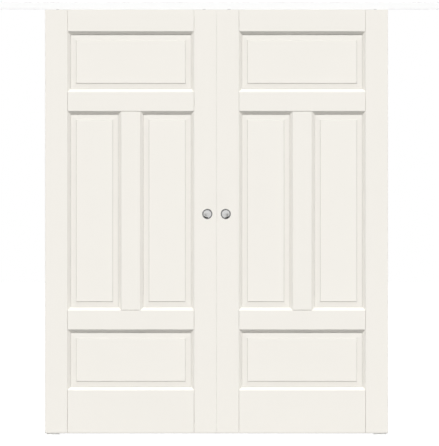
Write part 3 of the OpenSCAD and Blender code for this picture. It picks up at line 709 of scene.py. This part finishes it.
# The finish reads how far each point lies from the pull's axis
def buildPulls(side):
    for face, sign in (("_front_pull", -1.0), ("_back_pull", 1.0)):
        node = side + face
        low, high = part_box(node)
        profile = pullProfile((high.x - low.x) / 2)
        profile[:, 1] = sign * (timber["thickness"] / 2 + profile[:, 1])
        middle = [(low.x + high.x) / 2, 0.0, (low.z + high.z) / 2]
        piece = layPiece(node + "_turned", turnedShell(profile, middle, "y", pull["steps"]),
                         side + "_leaf", "chrome", [node])
        x, _, z = pointsOf(piece).T
        setAttribute(piece, "reach", np.hypot(x - middle[0], z - middle[2]))


# Fasteners of the hangers: hexagon bolts and nuts, and countersunk screws with a cross recess
fastener = {
    "across": 13.0 * mm, "flat": 0.95, "headHeight": 5.3 * mm, "columns": 36, "rowsPerTurn": 10,
    "boltRadius": 4.0 * mm, "boltPitch": 1.25 * mm, "boltThread": 0.65 * mm, "nutBore": 4.1 * mm,
    "flankGain": 1.5, "crestShare": 0.25,  # steepness of a thread's flanks, and what its crest cuts off
    "screwRadius": 2.25 * mm, "screwPitch": 1.8 * mm, "screwThread": 0.55 * mm,
    "screwTip": 5.0 * mm, "screwPoint": 0.2 * mm, "screwHead": 4.25 * mm, "screwSink": 2.0 * mm,
    "screwEnd": 10.0 * mm, "screwSide": 6.0 * mm,  # from the ends and sides of the plate
    "crossReach": 2.3 * mm, "crossHalf": 0.55 * mm, "crossDepth": 1.5 * mm,
}
fastener["angle"] = np.linspace(0.0, 2 * np.pi, fastener["columns"], endpoint=False)
fastener["faceRadius"] = fastener["flat"] * fastener["across"] / 2


# A shape around a vertical axis: each row has a height and a radius for every angle
def spunShell(heights, radii, middle, wrapRows=False):
    angle = fastener["angle"]
    height, radius = np.broadcast_arrays(np.stack(heights), np.stack(radii))
    points = np.stack([radius * np.cos(angle), radius * np.sin(angle), height], axis=2)
    return ringShell(points + np.array([middle[0], middle[1], 0.0]), wrapRows)


# Distance from the middle of a hexagon to its sides, with a corner at angle 0
def hexagon():
    return fastener["across"] / 2 / np.cos(fastener["angle"] % (np.pi / 3) - np.pi / 6)


# How far the corners of a hexagon fall away outside the round flat on its face, at 30 degrees
def cornerFall():
    return (hexagon() - fastener["faceRadius"]) * np.tan(np.pi / 6)


# Right-hand thread: the radius drops from the crest by depth * a clipped triangle wave of
# height / pitch - turn, and near both ends it closes in to meet a cone
def threadRows(low, high, crest, pitch, depth):
    height = np.linspace(low, high, int(fastener["rowsPerTurn"] * (high - low) / pitch))[:, None]
    turn = fastener["angle"] / (2 * np.pi)
    wave = np.abs(2 * ((height / pitch - turn) % 1.0) - 1.0)
    radius = crest - depth * np.clip(fastener["flankGain"] * wave - fastener["crestShare"], 0.0, 1.0)
    cone = crest - depth + np.minimum(height - low, high - height)
    return np.broadcast_to(height, radius.shape), np.minimum(radius, cone)


# Hexagon head with its chamfered face down, then the threaded shank
def boltShell(low, high, middle):
    ring = np.ones(fastener["columns"])
    flat = fastener["faceRadius"] * ring
    neck = low + fastener["headHeight"]
    crest, pitch, depth = fastener["boltRadius"], fastener["boltPitch"], fastener["boltThread"]
    height, radius = threadRows(neck, high, crest, pitch, depth)
    heights = [low * ring, low + cornerFall(), neck * ring, *height]
    return spunShell(heights, [flat, hexagon(), hexagon(), *radius], middle)


# Hexagon nut, chamfered above and below: up its bore and down its sides
def nutShell(low, high, middle):
    ring = np.ones(fastener["columns"])
    flat, bore = fastener["faceRadius"] * ring, fastener["nutBore"] * ring
    heights = [low * ring, high * ring, high * ring, high - cornerFall(), low + cornerFall(), low * ring]
    return spunShell(heights, [bore, bore, flat, hexagon(), hexagon(), flat], middle, wrapRows=True)


# Screw without its head: a pointed tip, then the thread
def screwShell(low, high, middle):
    ring = np.ones(fastener["columns"])
    crest = fastener["screwRadius"]
    neck, tip = high - fastener["screwSink"] + timber["sunk"], low + fastener["screwTip"]
    height, radius = threadRows(tip, neck, crest, fastener["screwPitch"], fastener["screwThread"])
    return spunShell([low * ring, *height], [fastener["screwPoint"] * ring, *radius], middle)


# Countersunk heads with a cross recess
def headShells(high, middles):
    ring = np.ones(fastener["columns"])
    heights = [(high - fastener["screwSink"]) * ring, high * ring]
    radii = [fastener["screwRadius"] * ring, fastener["screwHead"] * ring]
    reach, half, deep = fastener["crossReach"], fastener["crossHalf"], fastener["crossDepth"]
    bars = [boxShell([x - a, y - b, high - deep], [x + a, y + b, high + deep])
            for x, y in middles for a, b in ((reach, half), (half, reach))]
    return carve(joinShells([spunShell(heights, radii, middle) for middle in middles]), bars)


# A bolt and a nut at the middle of each hanger plate, and a screw near each of its corners
def buildFasteners(side):
    plates = [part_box(side + "_" + place + "_hanger_plate") for place in ("outer", "inner")]
    middles = [((low.x + high.x) / 2, (low.y + high.y) / 2) for low, high in plates]
    end, edge = fastener["screwEnd"], fastener["screwSide"]
    corners = [(x, y) for low, high in plates for x in (low.x + end, high.x - end)
               for y in (low.y + edge, high.y - edge)]
    rises = {name: [corner.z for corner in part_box(side + "_" + name)]
             for name in ("hanger_bolts", "lock_nuts", "plate_screws")}
    shells = {
        "hanger_bolts": joinShells([boltShell(*rises["hanger_bolts"], middle) for middle in middles]),
        "lock_nuts": joinShells([nutShell(*rises["lock_nuts"], middle) for middle in middles]),
        "plate_screws": joinShells([screwShell(*rises["plate_screws"], corner) for corner in corners]
                                   + [headShells(rises["plate_screws"][1], corners)]),
    }
    for name, shell in shells.items():
        node = side + "_" + name
        layPiece(node + "_zinc", shell, side + "_leaf", "zinc_steel", [node])


for side, outward in (("left", -1.0), ("right", 1.0)):
    buildStiles(side, outward)
    buildRails(side)
    buildPanels(side)
    buildPulls(side)
    buildFasteners(side)
    print(side, "leaf built")


# Nodes that keep their own shape and only take a finish
keptNodes = {
    "zinc_steel": ["hanger_plate", "axles", "stop_screws"],
    "trolley_alloy": ["trolley", "centre_stop", "end_stop"],
    "track_coat": ["track"],
    "nylon": ["wheels_", "floor_guide"],
    "rubber": ["stop_buffers"],
    "beech": ["dowels"],
}


def dressNodes():
    for name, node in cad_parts.items():
        for finish, words in keptNodes.items():
            if any(word in name for word in words):
                for slot in node.material_slots:
                    slot.material = finishes[finish]


dressNodes()
print("nodes dressed")
